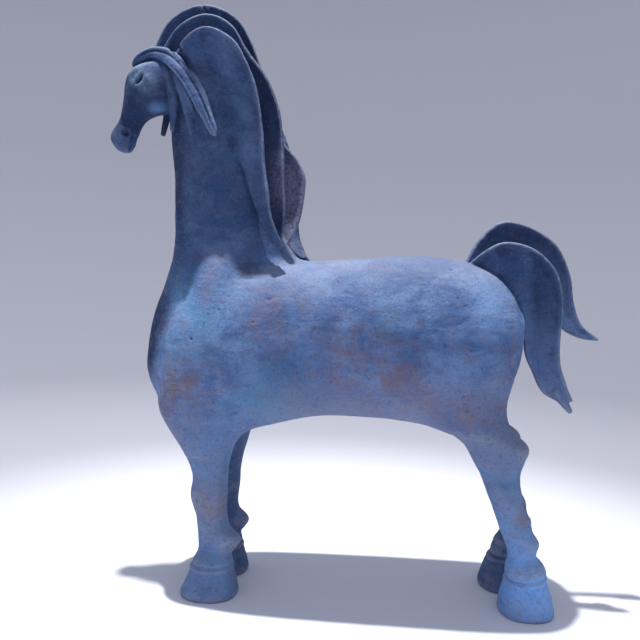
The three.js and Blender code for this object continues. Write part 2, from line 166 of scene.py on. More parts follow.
# A strand's point is x, place across the horse, z and radius
STRANDS = {
    "lock_front": [(-190, -15, 520, 3), (-181, -18.5, 502, 5), (-177, -20, 486, 5),
                   (-176, -20.5, 468, 4), (-177, -21, 452, 2)],
    "lock_middle": [(-181, -17, 516, 3), (-170, -21.5, 499, 4.8), (-163.5, -22.5, 481, 4.8),
                    (-159, -23, 463, 4), (-156, -23.5, 444, 2)],
    "lock_back": [(-174, -19.5, 509, 3), (-165, -23, 494, 4.4), (-159, -24, 478, 3.8),
                  (-155, -24.5, 465, 1.6)],
    "lock_right": [(-206, 11, 520, 3), (-192, 19, 522, 5), (-176, 25, 508, 5),
                   (-165, 28, 486, 4.4), (-159, 29, 462, 2.2)],
    "throat": [(-187, 17, 499, 4.4), (-191, 16, 482, 4), (-194.5, 15.5, 468, 3.4),
               (-197, 15, 455, 2.4)],
    "withers": [(-74, 26, 356, 6), (-58, 28, 338, 5.4), (-44, 22, 330, 3.4)],
    "tail_point": [(203, -10, 214, 6), (211, -9, 202, 4.5), (219.5, -9, 190.5, 2.4)],
}
# Strands laid side by side: the path of the bundle, how many and how wide they spread
FORELOCKS = {
    "left": dict(
        path=[(-222, -3, 519, 2.2), (-217, -5, 525, 3), (-208, -8, 529, 2.9),
              (-197, -13, 529.5, 2.4), (-184, -19, 525, 2.3), (-172, -24.5, 515.5, 2.3),
              (-160.5, -28.5, 502.5, 2.3), (-150.5, -31, 487.5, 2.3), (-142, -33, 470, 2.3),
              (-134.5, -34.5, 454, 2.1), (-130.5, -35.5, 446, 1.6)],
        count=4, spread=11.4, lift=0.6),
    "right": dict(
        path=[(-214, 5, 520, 2.6), (-202, 9, 526, 3.6), (-182, 20, 527, 3.8),
              (-162, 28, 511, 3.6), (-148, 31, 485, 3.4), (-141, 33, 456, 2)],
        count=3, spread=13, lift=-0.6),
}

# Places on the left of the face; the right side mirrors them
EYE = (-211.4, 23, 502.5)
EYE_SIZE = (14.6, 18, 6.4)
EYE_TILT = 0.88
NOSTRIL = (-226.4, 13, 451.3)
NOSTRIL_RADIUS = 3.5
MOUTH_LINE = [(-220.5, 449), (-222.5, 441), (-225.5, 433)]
MOUTH_WIDTH, MOUTH_DEPTH = 1.3, 2.6

# A swelling, or a hollow where its height is below nothing: centre, size along, across and
# over, tilt in the side view and height
FACE_FORMS = [
    ((-217, 16, 513), (10, 12, 3.6), 0.5, 2.4),
    ((-202, 20, 503), (3.4, 9, 6), 0.5, 1.0),
    ((-193, 20, 490), (11, 12, 10), 0, 1.0),
    ((-190, 14, 477.5), (12, 12, 3), 0.12, 0.9),
    ((-191, 20, 484.5), (11, 9, 2.4), 0.2, -0.5),
    ((-220, 17, 480), (6, 7, 12), 0.2, -0.6),
    ((-229, 12, 462), (6, 8, 3.6), 0.3, -0.7),
    ((-219.5, 6, 438.5), (3.6, 12, 4.4), 0, 1.2),
    ((-232, 5, 442), (6, 12, 6), 0, 1.1),
    ((-228, 9, 456), (6, 7, 3), 0.4, 0.8),
]
# Rims of clay pushed up round the eyes and nostrils: centre, size, tilt and height
FACE_RIMS = [
    ((-211.4, 21, 502.5), (9.6, 14, 5), 0.88, 0.35),
    ((-227.5, 12, 452.5), (5, 8, 4.6), 0, 0.35),
]
# Small marks on the left legs and on the body, given as the swellings are
BODY_MARKS = [
    ((182, -29, 90.5), (1.8, 9, 1.8), 0, 2.6),
    ((179, -29, 97), (2, 10, 8), 0.3, 0.5),
    ((-108, -42, 50), (4, 8, 2.6), 0.5, -1.3),
    ((-145, -62, 254), (1.7, 8, 1.6), 0, -1.8),
    ((10, -71, 231), (3.4, 9, 1.8), 0, -1.0),
    ((-72, -60, 293), (2.2, 9, 1.2), 0.2, -0.9),
    ((-40, -66, 262), (2, 9, 1.1), -0.2, -0.8),
    ((95, -40, 326), (2.2, 9, 1.4), 0, -1.0),
    ((107.4, -66, 209.8), (2.4, 9, 1.5), 1.1, -0.9),
    ((112.4, -64, 197.2), (3, 9, 1.4), 0.1, -0.9),
]
# Cracks and nicks in the mane: two ends, width, depth and side of the leaf they mark
NICKS = [
    (((-156, 583), (-147, 570)), 0.9, 2.2, 6),
    (((-174, 537), (-169, 529)), 1.2, 2.4, -21),
    (((-181, 533), (-176, 526)), 1.0, 1.6, -20),
]
# Where the root of the near leaf is smoothed into the neck
LEAF_ROOT = [(-160, 514), (-148, 511), (-135, 504), (-126, 490), (-120, 471), (-117, 452),
             (-110, 431)]
# Width and depth of the ropes combed into the forelock
ROPE_PITCH, ROPE_DEPTH = 3.4, 0.3
# Height of the coronet's lip on front and hind hooves, and how steeply the hind one climbs
FRONT_LIP, HIND_LIP, HIND_LIP_CLIMB = 27.5, 31, 0.15

# Deep blue for painted shade in the grooves and creases and for the pits, and thin paint where clay
# just shows through on the body
DEEP_BLUE = (0.012, 0.018, 0.05)
THIN_PAINT = (0.2, 0.17, 0.2)

# Spots of paint, wear and painted shadow: centre, the radius at which the spot has faded out, and its
# share
COOL_SPOTS = [
    ((-205, -20, 505), 50, 1), ((-150, -40, 60), 150, 1), ((150, -30, 90), 120, 1),
    ((-165, -60, 290), 75, 1), ((-60, -70, 190), 70, 1),
]
# Painted shadow: where the head's shadow falls across the front of the chest
CHEST_SHADOW_SPOTS = [((-205, 0, 270), 66, 1), ((-208, 0, 225), 40, 1)]
LOBE_SPOTS = [((-52, 0, 405), 52, 1), ((-60, 0, 352), 24, 1)]
BROW_SPOTS = [((-217, -18, 514), 14, 1), ((-219, -20, 507), 12, 1)]
CHEEK_SPOTS = [((-188, -20, 492), 24, 1), ((-222, -14, 472), 24, 0.7)]
LOCK_SPOTS = [
    ((-198, -10, 530), 30, 1), ((-172, -24, 518), 22, 1), ((-150, -31, 488), 26, 1),
    ((-136, -34, 460), 20, 1),
]
WORN_SPOTS = [
    ((-155, -50, 200), 65, 1), ((-165, -50, 165), 45, 1), ((15, -71, 235), 60, 0.7),
    ((60, -71, 215), 55, 0.5), ((128, -45, 200), 62, 0.8), ((60, -71, 300), 60, 0.3),
    ((-135, -48, 95), 40, 1), ((-130, -48, 75), 30, 1), ((172, -45, 97), 22, 1),
    ((-108, -44, 48), 14, 2), ((60, 60, 200), 90, 1), ((-120, 60, 230), 90, 1),
]
BROWN_SPOTS = [
    ((-134, -60, 214), 46, 1), ((128, -50, 203), 42, 1), ((15, -71, 238), 48, 1),
    ((70, -71, 205), 40, 0.7), ((-60, -66, 290), 55, 0.5), ((-125, -45, 92), 30, 1),
    ((172, -45, 96), 18, 1), ((150, -50, 270), 45, 0.4),
]
# Single touches of a colour, laid one over the other
BODY_TOUCHES = [
    ("sky", (200, -12, 240), 66, 0.45), ("sky", (228, 10, 298), 62, 0.35),
    ("azure", (150, -55, 290), 56, 0.22), ("azure", (168, -45, 75), 52, 0.3),
    ("azure", (-150, -60, 290), 56, 0.18), ("sky", (-132, -50, 168), 44, 0.35),
    ("cobalt", (120, -50, 190), 66, 0.3),
]
MUZZLE_TOUCHES = [("cobalt", (-231, -8, 439), 19, 0.85), ("navy", (-229, -12, 438), 14, 0.55)]

CAMERA_PLACE = Vector((19.8, -690.3, 312))
CAMERA_TURN, CAMERA_DIP, CAMERA_ROLL = (math.radians(d) for d in (4, 3.3, 1.7))
SENSOR = 36
CAMERA_LENS = SENSOR * 690 / 640

LAMP_PLACE, LAMP_AIM = Vector((-0.28, -0.02, 2.2)), Vector((0, 0, 0.25))
LAMP_SIZE, LAMP_COLOUR = 0.06, (1, 0.98, 0.95)
AIR_COLOUR = (0.82, 0.87, 1, 1)


def length_setting(name, default, description, largest):
    """A length given in millimetres."""
    return FloatProperty(name=name, description=description, default=default * MM, min=0,
                         max=largest * MM, unit="LENGTH")


class ClayHorseForm(bpy.types.PropertyGroup):
    """Sizes of the modelled clay"""

    barrel_half: length_setting("Body Half Width", 71, "Half the width of the body at its widest", 200)
    neck_half: length_setting("Neck Half Width", 28, "Half the width of the neck at mid height", 100)
    slab: length_setting("Slab Thickness", 7, "Thickness of the mane and tail slabs", 20)
    lean: FloatProperty(
        name="Slab Lean", description="How far the slabs lean in towards the middle",
        default=0.35, min=0, max=1, subtype="FACTOR")
    unevenness: length_setting("Unevenness", 0.7, "Height of dents and swellings left by the hand", 5)
    grain: length_setting("Clay Grain", 0.2, "Height of the scraped and gritty grain of the clay", 2)
    faces: IntProperty(
        name="Triangles", description="Upper limit for the finished mesh",
        default=192000, min=20000, max=199000)
    seed: IntProperty(name="Seed", description="Seed of the pits", default=7, min=0)


def colour_setting(name, default, description):
    """A colour of paint, clay or stage."""
    return FloatVectorProperty(name=name, description=description, subtype="COLOR",
                               default=default, min=0, max=1)


class ClayHorsePaint(bpy.types.PropertyGroup):
    """Colours of the paint and of the clay that shows through it"""

    cobalt: colour_setting("Cobalt", (0.066, 0.135, 0.33), "Main blue of the body")
    sky: colour_setting("Light Blue", (0.175, 0.29, 0.54), "Light blue brushed over the cobalt")
    turquoise: colour_setting("Turquoise", (0.085, 0.23, 0.4), "Patches on brow, shoulder and legs")
    violet: colour_setting("Violet Grey", (0.135, 0.14, 0.27), "Violet-grey patches")
    # Navy is also laid on as painted shade on the chest, the upper neck and the far legs
    navy: colour_setting("Navy", (0.019, 0.037, 0.108), "Dark blue of the mane and tail")
    # Dust is also laid on rims, crests and upward-facing surfaces as painted highlight
    dust_and_highlight: colour_setting("Dust", (0.3, 0.33, 0.43), "Pale blue rubbed on rims and edges")
    azure: colour_setting("Azure", (0.19, 0.41, 0.85), "Bright blue of the hind hoof and jaw")
    clay: colour_setting("Fired Clay", (0.27, 0.15, 0.115), "Orange-brown clay under worn paint")
    wear: FloatProperty(
        name="Wear", description="How much clay shows through the paint", default=0.5,
        min=0, max=1, subtype="FACTOR")


class ClayHorseStage(bpy.types.PropertyGroup):
    """Pale floor and soft light"""

    floor: colour_setting("Floor", (0.76, 0.77, 0.83), "Colour of the floor")
    backdrop: colour_setting("Backdrop", (0.4, 0.41, 0.47), "Colour of the wall behind")
    key: FloatProperty(
        name="Key Light", description="Power of the lamp overhead", default=62, min=0,
        subtype="POWER")
    air: FloatProperty(
        name="Air Light", description="Strength of the light from all round", default=0.64,
        min=0)


def smooth_rows(rows, count):
    """A smooth curve through rows of numbers, sampled at even steps."""
    rows = np.asarray(rows, float)
    last = len(rows) - 1
    t = np.linspace(0, last, count)
    i = np.minimum(t.astype(int), last - 1)
    f = (t - i)[:, None]
    a, b, c, d = (rows[np.clip(i + step, 0, last)] for step in (-1, 0, 1, 2))
    return b + 0.5 * f * (c - a + f * (2 * a - 5 * b + 4 * c - d + f * (3 * (b - c) + d - a)))


def eased(values, shares):
    """Evenly spaced values read at shares of their length, with eased steps."""
    values = np.asarray(values, float)
    scaled = np.asarray(shares) * (len(values) - 1)
    i = np.minimum(scaled.astype(int), len(values) - 2)
    f = scaled - i
    return values[i] + (values[i + 1] - values[i]) * f * f * (3 - 2 * f)


def eased_table(table, positions):
    """A table of position and value read at any position, with eased steps."""
    at, value = np.array(table, float).T
    i = np.clip(np.searchsorted(at, positions) - 1, 0, len(at) - 2)
    f = np.clip((positions - at[i]) / (at[i + 1] - at[i]), 0, 1)
    return value[i] + (value[i + 1] - value[i]) * f * f * (3 - 2 * f)


class Clay:
    """Closed lumps of clay gathered into one mesh, in millimetres."""

    def __init__(self):
        self.points, self.faces, self.total = [], [], 0

    def add_skin(self, rings):
        """A closed skin over rings of points shaped (ring, side, 3)."""
        count, sides = rings.shape[:2]
        a = np.arange(count - 1)[:, None] * sides + np.arange(sides)
        b = np.arange(count - 1)[:, None] * sides + (np.arange(sides) + 1) % sides
        quads = np.stack([a, b, b + sides, a + sides], -1).reshape(-1, 4) + self.total
        ends = rings[[0, -1]].mean(1)
        middle = self.total + count * sides
        side = np.arange(sides)
        start = np.stack([np.full(sides, middle), (side + 1) % sides + self.total,
                          side + self.total], -1)
        last = (count - 1) * sides + self.total
        end = np.stack([np.full(sides, middle + 1), side + last, (side + 1) % sides + last], -1)
        self.points += [rings.reshape(-1, 3), ends]
        turned = 1 if self.outward(rings) else -1
        for corners in (quads, start, end):
            self.faces += corners[:, ::turned].tolist()
        self.total += count * sides + 2

    @staticmethod
    def outward(rings):
        """Whether the rings turn so that their faces point outwards."""
        middle = len(rings) // 2
        ring = rings[middle] - rings[middle].mean(0)
        area = np.cross(ring, np.roll(ring, -1, 0)).sum(0)
        return area @ (rings[middle + 1] - rings[middle - 1]).mean(0) > 0

    def object(self, name):
        mesh = bpy.data.meshes.new(name)
        mesh.from_pydata(np.concatenate(self.points) * MM, [], self.faces)
        return linked(name, mesh)


def linked(name, data):
    made = bpy.data.objects.new(name, data)
    bpy.context.scene.collection.objects.link(made)
    return made


def dropped(*objects):
    for made in objects:
        data = made.data
        bpy.data.objects.remove(made)
        (bpy.data.meshes if isinstance(data, bpy.types.Mesh) else bpy.data.curves).remove(data)


def applied(made):
    """Replaces an object's mesh by its evaluated one and removes its modifiers."""
    shape = made.evaluated_get(bpy.context.evaluated_depsgraph_get())
    result = bpy.data.meshes.new_from_object(shape)
    old = made.data
    made.modifiers.clear()
    made.data = result
    if not old.users:
        bpy.data.meshes.remove(old)
    return made


def oval_rings(front, back, half, middle, sides, power):
    """Ovals between two edges in the side view; a higher power makes them squarer."""
    turn = np.arange(sides) * 2 * math.pi / sides
    u, v = (np.sign(w) * np.abs(w) ** (2 / power) for w in (np.cos(turn), np.sin(turn)))
    centre, reach = (front + back) / 2, (front - back) / 2
    x = centre[:, :1] + reach[:, :1] * u
    z = centre[:, 1:] + reach[:, 1:] * u
    y = np.asarray(middle)[..., None] + np.asarray(half)[:, None] * v
    return np.stack([x, y * np.ones_like(x), z], -1)


def domed(rings, start, end):
    """Rounds off both ends of a run of rings."""
    def dome(last, before, length):
        centre = last.mean(0)
        outward = centre - before.mean(0)
        outward /= np.linalg.norm(outward)
        turns = (np.arange(DOME_STEPS) + 1) / (DOME_STEPS + 0.35) * math.pi / 2
        return np.array([(last - centre) * math.cos(t) + centre + outward * length * math.sin(t)
                         for t in turns])
    head = dome(rings[0], rings[1], start)[::-1]
    return np.concatenate([head, rings, dome(rings[-1], rings[-2], end)])


def add_body(clay, stations, scale, power, start, end):
    rows = smooth_rows(stations, BODY_RINGS)
    rings = oval_rings(rows[:, :2], rows[:, 2:4], rows[:, 4] * scale, 0, BODY_SIDES, power)
    clay.add_skin(domed(rings, start, end))


def add_upright(clay, stations, side, sway, power, flat=False):
    rows = smooth_rows(stations, LEG_RINGS)
    shift = eased_table(sway, rows[:, 0]) if sway else 0
    front, back = (np.stack([rows[:, c] + shift, rows[:, 0]], -1) for c in (1, 2))
    rings = oval_rings(front, back, rows[:, 3], side * rows[:, 4], LEG_SIDES, power)
    if flat:
        sole = rings[-1:].copy()
        sole[..., 2] = 0
        rings = np.concatenate([rings, sole])
    clay.add_skin(rings)


def add_leaf(clay, stations, across, curl, root, free, slab, lean):
    """A slab between its outer and inner edge, thickest along its outer rim."""
    rows = smooth_rows(stations, LEAF_RINGS)
    along = np.linspace(0, 1, LEAF_RINGS)[:, None]
    share = (0.5 - 0.5 * np.cos(np.linspace(0, math.pi, LEAF_COLUMNS)))[None, :]
    rooted = 1 + root * np.clip((free - along) / 0.12, 0, 1)
    inward = share * rooted
    reach = np.hypot(rows[:, 2] - rows[:, 0], rows[:, 3] - rows[:, 1])[:, None]
    depth = inward * reach
    taper = np.minimum(1, np.minimum(0.4 + 4.5 * along, 0.5 + 4.5 * (1 - along)))
    nose = np.minimum(np.minimum(depth, reach * rooted - depth) / 2.6, 1)
    rim = 0.9 + 0.28 * np.exp(-((depth - 2.5) / 3) ** 2)
    half = slab / MM / 2 * taper * np.sqrt(np.maximum(1 - (1 - nose) ** 2, 0.02)) * rim
    middle = eased(across, along[:, 0])[:, None]
    y = middle * (1 - lean * inward) + curl * taper * np.exp(-depth / 9)
    x = rows[:, :1] + (rows[:, 2:3] - rows[:, :1]) * inward
    z = rows[:, 1:2] + (rows[:, 3:4] - rows[:, 1:2]) * inward
    faces = [np.stack([x, y + side * half, z], -1) for side in (-1, 1)]
    clay.add_skin(np.concatenate([faces[0], faces[1][:, ::-1]], 1))


def add_ball(clay, centre, size, tilt=0.0):
    """An egg shape turned about the axis across the horse."""
    turn = np.linspace(0, math.pi, BALL_RINGS + 2)[1:-1]
    around = np.arange(BALL_SIDES) * 2 * math.pi / BALL_SIDES
    ball = np.stack([np.sin(turn)[:, None] * np.cos(around), np.sin(turn)[:, None] * np.sin(around),
                     np.cos(turn)[:, None] * np.ones(BALL_SIDES)], -1) * np.array(size)
    spin = np.array(Matrix.Rotation(-tilt, 3, "Y"))
    clay.add_skin(ball @ spin.T + np.array(centre))


def body_clay(form):
    clay = Clay()
    add_body(clay, BARREL, form.barrel_half / MM, 2.25, 9, 8)
    add_body(clay, NECK, form.neck_half / MM, 2.1, 10, 8)
    add_body(clay, SHOULDERS, 1, 2.0, 8, 6)
    add_body(clay, HEAD, 1, 2.15, 5, 3.5)
    for side in (-1, 1):
        legs = ((FRONT_LEG, FRONT_HOOF, RIGHT_FRONT_SWAY), (HIND_LEG, HIND_HOOF, RIGHT_HIND_SWAY))
        for leg, hoof, sway in legs:
            add_upright(clay, leg, side, sway if side > 0 else None, 2.2)
            add_upright(clay, hoof, side, sway if side > 0 else None, 2.3, flat=True)
    return clay


def remeshed(made, voxel):
    """Fuses overlapping lumps into one skin."""
    remesh = made.modifiers.new("fuse", "REMESH")
    remesh.mode = "VOXEL"
    remesh.voxel_size = voxel
    return applied(made)


def read_points(mesh):
    points = np.empty(len(mesh.vertices) * 3)
    mesh.vertices.foreach_get("co", points)
    edges = np.empty(len(mesh.edges) * 2, np.int64)
    mesh.edges.foreach_get("vertices", edges)
    return points.reshape(-1, 3) / MM, edges.reshape(-1, 2)


def read_normals(mesh):
    normals = np.empty(len(mesh.vertices) * 3)
    mesh.vertex_normals.foreach_get("vector", normals)
    return normals.reshape(-1, 3)


def write_points(mesh, points):
    mesh.vertices.foreach_set("co", (points * MM).ravel())
    mesh.update()


def relaxed(points, edges, weight, times):
    """Moves each point towards the mean of its neighbours, by its weight, again and again."""
    moving = (weight > 0.001)[edges].any(1)
    used, ends = np.unique(edges[moving], return_inverse=True)
    start, end = ends.reshape(-1, 2).T
    count, share, local = len(used), weight[used, None], points[used]
    degree = np.bincount(start, minlength=count) + np.bincount(end, minlength=count)
    for _ in range(times):
        total = np.stack([np.bincount(start, local[end, axis], count)
                          + np.bincount(end, local[start, axis], count)
                          for axis in range(3)], -1)
        local += share * (total / degree[:, None] - local)
    points = points.copy()
    points[used] = local
    return points


def beside(points, line):
    """Distance in the side view from a line of stretches, below nothing on its right side."""
    nearest = np.full(len(points), np.inf)
    for start, end in zip(line, line[1:]):
        run = np.subtract(end, start)
        offset = points[:, ::2] - start
        share = np.clip(offset @ run / (run @ run), 0, 1)
        gap = np.hypot(*(offset - share[:, None] * run).T)
        side = np.sign(run[0] * offset[:, 1] - run[1] * offset[:, 0])
        nearest = np.where(gap < np.abs(nearest), gap * side, nearest)
    return nearest


def between(values, low, high, fade):
    """1 between low and high, fading to 0 over the given distance outside."""
    return np.clip(np.minimum(values - low, high - values) / fade + 1, 0, 1)


def blend_joins(made):
    """Rounds the creases where neck, legs and head grow out of the body."""
    points, edges = read_points(made.data)
    x, y, z = points.T
    shoulders = between(z, 222, 350, 16) * between(x, -260, -15, 20)
    leg_tops = np.maximum(between(z, 150, 214, 10) * between(x, -250, -72, 14),
                          between(z, 182, 216, 8) * between(x, 76, 250, 14))
    throat = 0.5 * between(x, -200, -168, 5) * between(z, 478, 512, 6)
    points = relaxed(points, edges, np.maximum(shoulders * 0.7, leg_tops), 80)
    points = relaxed(points, edges, throat, 12)
    soft = np.where(z < 5, 0.1, np.where(z < 64, 0.3, 0.5))
    points = relaxed(points, edges, soft, 5)
    points[:, 2] = np.maximum(points[:, 2], 0)
    write_points(made.data, points)
    return made


def cut_by(made, cutter):
    cut = made.modifiers.new("cut", "BOOLEAN")
    cut.operation = "DIFFERENCE"
    cut.solver = "EXACT"
    cut.object = cutter
    applied(made)
    dropped(cutter)
    return made


def face_cuts():
    """Eye holes and nostrils, on both sides."""
    clay = Clay()
    for side in (-1, 1):
        mirror = np.array((1, side, 1))
        add_ball(clay, EYE * mirror, np.array(EYE_SIZE) / 2, EYE_TILT)
        add_ball(clay, NOSTRIL * mirror, (NOSTRIL_RADIUS, 6.5, NOSTRIL_RADIUS))
    return clay.object("face_cuts")


class Socket:
    """A node's output. Arithmetic on it adds Math nodes, and node() adds any other kind."""

    def __init__(self, tree, socket=None):
        self.tree, self.socket = tree, socket

    def node(self, kind, settings=(), sockets=(), output=0):
        made = self.tree.nodes.new(kind)
        for name, value in dict(settings).items():
            setattr(made, name, value)
        for key, value in dict(sockets).items():
            if isinstance(value, Socket):
                self.tree.links.new(value.socket, made.inputs[key])
            else:
                made.inputs[key].default_value = value
        return Socket(self.tree, made.outputs[output] if output is not None else None)

    def also(self, output):
        """Another output of the same node."""
        return Socket(self.tree, self.socket.node.outputs[output])

    def maths(self, operation, *values):
        return self.node("ShaderNodeMath", {"operation": operation}, dict(enumerate(values)))

    def vector(self, operation, sockets):
        return self.node("ShaderNodeVectorMath", {"operation": operation}, sockets)

    def __add__(self, other):
        return self.maths("ADD", self, other)

    def __sub__(self, other):
        return self.maths("SUBTRACT", self, other)

    def __rsub__(self, other):
        return self.maths("SUBTRACT", other, self)

    def __mul__(self, other):
        return self.maths("MULTIPLY", self, other)

    def __truediv__(self, other):
        return self.maths("DIVIDE", self, other)

    __radd__, __rmul__ = __add__, __mul__

    def capped(self):
        """This value, no higher than 1."""
        return self.maths("MINIMUM", self, 1.0)

    def above(self, low, high):
        """0 below low, 1 above high, eased between."""
        sockets = {"Value": self, "From Min": low, "From Max": high}
        return self.node("ShaderNodeMapRange", {"interpolation_type": "SMOOTHSTEP"}, sockets)

    def noise(self, size, detail=3.0, roughness=0.55, distortion=0.0):
        """Fractal noise read at this vector; size is the width of its largest lumps."""
        sockets = {"Vector": self, "Scale": 1 / size, "Detail": detail, "Roughness": roughness,
                   "Distortion": distortion}
        return self.node("ShaderNodeTexNoise", sockets=sockets)

    def stretched(self, factors, shift=(0, 0, 0)):
        settings = {"vector_type": "POINT"}
        return self.node("ShaderNodeMapping", settings, {0: self, "Scale": factors,
                                                         "Location": shift})

    def mix(self, other, factor):
        """This colour covered by another one."""
        settings = {"data_type": "RGBA"}
        other = other if isinstance(other, Socket) else (*other, 1.0)
        return self.node("ShaderNodeMix", settings, {0: factor, 6: self, 7: other}, output=2)

    def near(self, centre, radius):
        """1 at a place in millimetres, fading to 0 at the given radius."""
        offset = self.vector("DISTANCE", {0: self, 1: tuple(c * MM for c in centre)}).also(1)
        return 1 - offset.above(radius * 0.25 * MM, radius * MM)

    def spots(self, places):
        """The shares of several places added up, no higher than 1."""
        shares = [self.near(centre, radius) * share for centre, radius, share in places]
        return sum(shares[1:], shares[0]).capped()

    def touched(self, place, paint, touches):
        """This colour under single touches of other ones."""
        colour = self
        for name, centre, radius, share in touches:
            colour = colour.mix(getattr(paint, name), place.near(centre, radius) * share)
        return colour


def strand_tree():
    """Strands laid side by side along a curve, each a tapering rope of clay."""
    tree = bpy.data.node_groups.new("clay_strands", "GeometryNodeTree")
    inputs = {"Path": "Geometry", "Count": "Int", "Spread": "Float", "Lift": "Float",
              "Sides": "Int", "Finish": "Material"}
    for name, kind in inputs.items():
        tree.interface.new_socket(name, in_out="INPUT", socket_type=f"NodeSocket{kind}")
    tree.interface.new_socket("Strands", in_out="OUTPUT", socket_type="NodeSocketGeometry")
    start = Socket(tree)
    path, count, spread, lift, sides, finish = (start.node("NodeGroupInput", output=name)
                                                for name in inputs)
    copies = start.node("GeometryNodeDuplicateElements", {"domain": "SPLINE"},
                        {"Geometry": path, "Amount": count})
    index = copies.also("Duplicate Index")
    share = index / start.maths("MAXIMUM", count - 1.0, 1.0)
    along = start.node("GeometryNodeSplineParameter", output="Factor")
    swell = start.maths("POWER", start.maths("SINE", along * math.pi), 0.6)
    tangent = start.node("GeometryNodeInputTangent")
    sideways = start.vector("CROSS_PRODUCT", {0: tangent, 1: (0, 1, 0)})
    offset = start.vector("SCALE", {0: sideways, "Scale": (share - 0.5) * swell * spread})
    raised = start.vector("SCALE", {0: (0, -1, 0),
                                    "Scale": start.maths("SINE", index * 2.2) * lift})
    moved = start.node("GeometryNodeSetPosition", sockets={
        "Geometry": copies, "Offset": start.vector("ADD", {0: offset, 1: raised})})
    ring = start.node("GeometryNodeCurvePrimitiveCircle",
                      sockets={"Resolution": sides, "Radius": 1.0})
    rope = start.node("GeometryNodeCurveToMesh", sockets={
        "Curve": moved, "Profile Curve": ring, "Scale": start.node("GeometryNodeInputRadius"),
        "Fill Caps": True})
    real = start.node("GeometryNodeRealizeInstances", sockets={"Geometry": rope})
    painted = start.node("GeometryNodeSetMaterial",
                         sockets={"Geometry": real, "Material": finish})
    start.node("NodeGroupOutput", sockets={"Strands": painted}, output=None)
    return tree


def strand_object(name, tree, path, finish, count=1, spread=0.0, lift=0.0):
    """One strand or a bundle of them, as a plain mesh."""
    rows = smooth_rows(path, STRAND_STEPS)
    curve = bpy.data.curves.new(name, "CURVE")
    curve.dimensions = "3D"
    spline = curve.splines.new("POLY")
    spline.points.add(len(rows) - 1)
    steps = np.arange(STRAND_STEPS)
    ends = np.minimum(steps, steps[::-1]) / 3
    blunt = np.sqrt(np.clip(1 - (1 - np.minimum(ends + 0.35, 1)) ** 2, 0, 1))
    for point, (x, y, z, radius), full in zip(spline.points, rows, blunt):
        point.co = (x * MM, y * MM, z * MM, 1)
        point.radius = radius * full * MM
    made = linked(name, curve)
    modifier = made.modifiers.new("strands", "NODES")
    modifier.node_group = tree
    inputs = {"Count": count, "Spread": spread * MM, "Lift": lift * MM,
              "Sides": STRAND_SIDES, "Finish": finish}
    for item in tree.interface.items_tree:
        if item.in_out == "INPUT" and item.name in inputs:
            modifier[item.identifier] = inputs[item.name]
    shape = made.evaluated_get(bpy.context.evaluated_depsgraph_get())
    mesh = bpy.data.meshes.new_from_object(shape)
    dropped(made)
    return linked(name, mesh)


def joined(name, *objects):
    """Joins meshes that all lie in the figure's own place."""
    clay = Clay()
    for made in objects:
        mesh = made.data
        points, _ = read_points(mesh)
        clay.faces += [[v + clay.total for v in face.vertices] for face in mesh.polygons]
        clay.points.append(points)
        clay.total += len(points)
    result = clay.object(name)
    dropped(*objects)
    return result


def lattice_noise(points, size, seed):
    """Smooth random values between -1 and 1; size is the width of one lump in each direction."""
    place = points / np.asarray(size) + 31.7 * seed
    cell = np.floor(place).astype(np.int64)
    f = place - cell
    f = f * f * f * (f * (6 * f - 15) + 10)
    total = np.zeros(len(points))
    for corner in np.ndindex(2, 2, 2):
        key = ((cell + corner) * (73856093, 19349663, 83492791)).sum(1) + seed * 1013
        key = ((key ^ (key >> 13)) * 1274126177) & 0xFFFFFFFF
        key = ((key ^ (key >> 16)) * 2246822519) & 0xFFFFFFFF
        weight = np.prod(np.where(corner, f, 1 - f), 1)
        total += weight * ((key >> 8 & 0xFFFF) / 32767.5 - 1)
    return total


def oval_distance(points, centre, size, tilt):
    """Distance from a place in units of an oval's size, tilted in the side view."""
    along = points - np.array(centre)
    turn = np.array(((math.cos(tilt), 0, math.sin(tilt)), (0, 1, 0),
                     (-math.sin(tilt), 0, math.cos(tilt))))
    return np.sqrt(((along @ turn.T / np.array(size)) ** 2).sum(1))


def forelock_line():
    """The middle of the left forelock in the side view."""
    return smooth_rows(FORELOCKS["left"]["path"], 36)[:, (0, 2)]


def forelock_share(points):
    """1 on the band of ropes that falls over the left of the forehead."""
    x, y, z = points.T
    outward = np.interp(x, [-215, -195, -172, -150, -130], [0, -9, -21, -27, -31])
    return (np.abs(beside(points, forelock_line())) < 9) * (y < outward) * (z > 444)


def modelled(points):
    """Height of the forms pushed up or pressed in by the maker's fingers and tools."""
    x, y, z = points.T
    mirrored = np.stack([x, np.abs(y), z], -1)
    height = np.zeros(len(points))
    for centre, size, tilt, rise in FACE_FORMS:
        height += rise * np.exp(-oval_distance(mirrored, centre, size, tilt) ** 2)
    for centre, size, tilt, rise in FACE_RIMS:
        height += rise * np.exp(-((oval_distance(mirrored, centre, size, tilt) - 0.9) / 0.3) ** 2)
    for centre, size, tilt, rise in BODY_MARKS:
        height += rise * np.exp(-oval_distance(points, centre, size, tilt) ** 2)
    mouth = np.exp(-(beside(points, MOUTH_LINE) / MOUTH_WIDTH) ** 2)
    height -= MOUTH_DEPTH * mouth * (np.abs(y) > 2)
    comb = np.cos(beside(points, forelock_line()) * 2 * math.pi / ROPE_PITCH)
    height += ROPE_DEPTH * comb * forelock_share(points) * np.clip((x + 205) / 30, 0.2, 1)
    hind = z - HIND_LIP - HIND_LIP_CLIMB * (x - 165)
    for lip, hooves, deep in ((z - FRONT_LIP, x < -60, 0.8), (hind, x > 100, 1.2)):
        groove = np.exp(-((lip - 2.8) / 1.6) ** 2)
        height += hooves * (np.exp(-(lip / 1.7) ** 2) - groove * deep) * (z < 60)
    for line, width, deep, place in NICKS:
        gap = beside(points, line)
        height -= deep * np.exp(-(gap / width) ** 2) * (np.abs(y - place) < 9)
    return height


